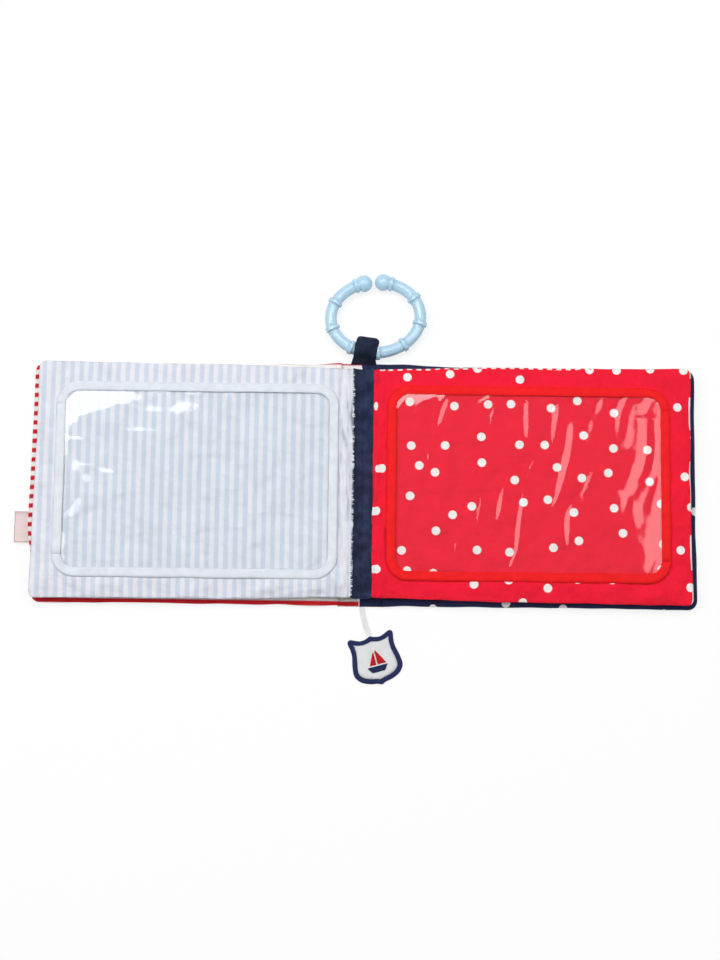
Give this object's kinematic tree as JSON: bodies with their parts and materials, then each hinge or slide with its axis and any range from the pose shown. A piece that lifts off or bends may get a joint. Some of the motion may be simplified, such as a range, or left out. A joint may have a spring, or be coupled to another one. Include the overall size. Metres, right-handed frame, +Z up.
{
  "type": "fabric photo album",
  "caption": "Padded fabric photo album lying open, with clear picture pockets, a hanging ring on a ribbon loop and a shield patch on a ribbon.",
  "frame": {"origin": "on the table, under the spine band and halfway along it", "axes": "+X across the open spread to the right-hand page, +Y along the spine towards the ring, +Z up"},
  "size_m": [0.3904, 0.2376, 0.0141],
  "materials": {
    "blue_stripe_cotton": "printed cotton, pale blue and white stripes",
    "red_stripe_cotton": "printed cotton, red and white stripes",
    "red_dot_cotton": "printed cotton, red with scattered white dots",
    "navy_dot_cotton": "printed cotton, navy with white dots",
    "navy_velour": "velour with a short pile",
    "wadding": "polyester wadding",
    "pale_tape": "bias tape, very pale blue",
    "red_tape": "bias tape, red",
    "navy_tape": "bias tape, navy",
    "clear_vinyl": "clear soft vinyl film",
    "ring_plastic": "moulded light blue plastic, satin",
    "white_ribbon": "woven ribbon, white",
    "patch_twill": "twill, off-white",
    "navy_thread": "embroidery thread, navy",
    "red_thread": "embroidery thread, red",
    "woven_tab": "woven tab, bare"
  },
  "bodies": {
    "spine": {"spine_band_front": "red_stripe_cotton", "spine_band_back": "navy_dot_cotton", "spine_strip": "navy_velour"},
    "left_leaf": {"left_leaf_face": "blue_stripe_cotton", "left_leaf_back": "blue_stripe_cotton", "left_leaf_wadding": "wadding", "left_leaf_face_window": "clear_vinyl", "left_leaf_face_binding": "pale_tape", "left_leaf_face_mouth_tape": "pale_tape", "left_leaf_back_window": "clear_vinyl", "left_leaf_back_binding": "pale_tape", "left_leaf_back_mouth_tape": "pale_tape"},
    "right_leaf": {"right_leaf_face": "red_dot_cotton", "right_leaf_back": "red_stripe_cotton", "right_leaf_wadding": "wadding", "right_leaf_face_window": "clear_vinyl", "right_leaf_face_binding": "red_tape", "right_leaf_face_mouth_tape": "red_tape", "right_leaf_back_window": "clear_vinyl", "right_leaf_back_binding": "red_tape", "right_leaf_back_mouth_tape": "red_tape"},
    "front_cover": {"front_cover_lining": "red_stripe_cotton", "front_cover_outer": "red_stripe_cotton", "front_cover_wadding": "wadding", "front_cover_window": "clear_vinyl", "front_cover_binding": "red_tape", "front_cover_mouth_tape": "red_tape"},
    "back_cover": {"back_cover_lining": "navy_dot_cotton", "back_cover_outer": "navy_dot_cotton", "back_cover_wadding": "wadding", "back_cover_window": "clear_vinyl", "back_cover_binding": "navy_tape", "back_cover_mouth_tape": "navy_tape"},
    "loop": {"hanging_loop": "navy_velour"},
    "ring": {"link_ring": "ring_plastic"},
    "ribbon": {"tag_ribbon": "white_ribbon"},
    "patch": {"patch_border": "navy_thread", "patch_field": "patch_twill", "motif_hull": "navy_thread", "motif_main_sail": "red_thread", "motif_fore_sail": "red_thread"},
    "tab": {"edge_tab": "woven_tab"}
  },
  "joints": [
    {"name": "left_leaf_turn", "type": "hinge", "parent": "spine", "child": "left_leaf", "pos_m": [0, 0, 0.01425], "axis": [0, 1, 0], "range_deg": [0, 180]},
    {"name": "right_leaf_turn", "type": "hinge", "parent": "spine", "child": "right_leaf", "pos_m": [0, 0, 0.01425], "axis": [0, 1, 0], "range_deg": [-180, 0]},
    {"name": "front_cover_open", "type": "hinge", "parent": "left_leaf", "child": "front_cover", "pos_m": [-0.01265, 0, -0.0002], "axis": [0, -1, 0], "range_deg": [0, 180]},
    {"name": "back_cover_open", "type": "hinge", "parent": "right_leaf", "child": "back_cover", "pos_m": [0.01265, 0, -0.0002], "axis": [0, -1, 0], "range_deg": [-180, 0]},
    {"name": "loop_swing", "type": "hinge", "parent": "spine", "child": "loop", "pos_m": [-0.0004, 0.0708, 0.003], "axis": [1, 0, 0], "range_deg": [-40, 40]},
    {"name": "ring_swing", "type": "hinge", "parent": "loop", "child": "ring", "pos_m": [-0.0004, 0.0772, 0.00515], "axis": [-0.9882, 0.1532, 0], "range_deg": [-100, 100]},
    {"name": "ribbon_lift", "type": "hinge", "parent": "spine", "child": "ribbon", "pos_m": [0.0009, -0.0708, 0.0008], "axis": [-1, 0, 0], "range_deg": [-90, 80]},
    {"name": "patch_tilt", "type": "hinge", "parent": "ribbon", "child": "patch", "pos_m": [0.00526, -0.087, 0.0008], "axis": [0.9636, 0.2672, 0], "range_deg": [-80, 80]},
    {"name": "tab_flip", "type": "hinge", "parent": "front_cover", "child": "tab", "pos_m": [-0.1906, -0.026, 0.00265], "axis": [0, 1, 0], "range_deg": [-60, 60]}
  ]
}
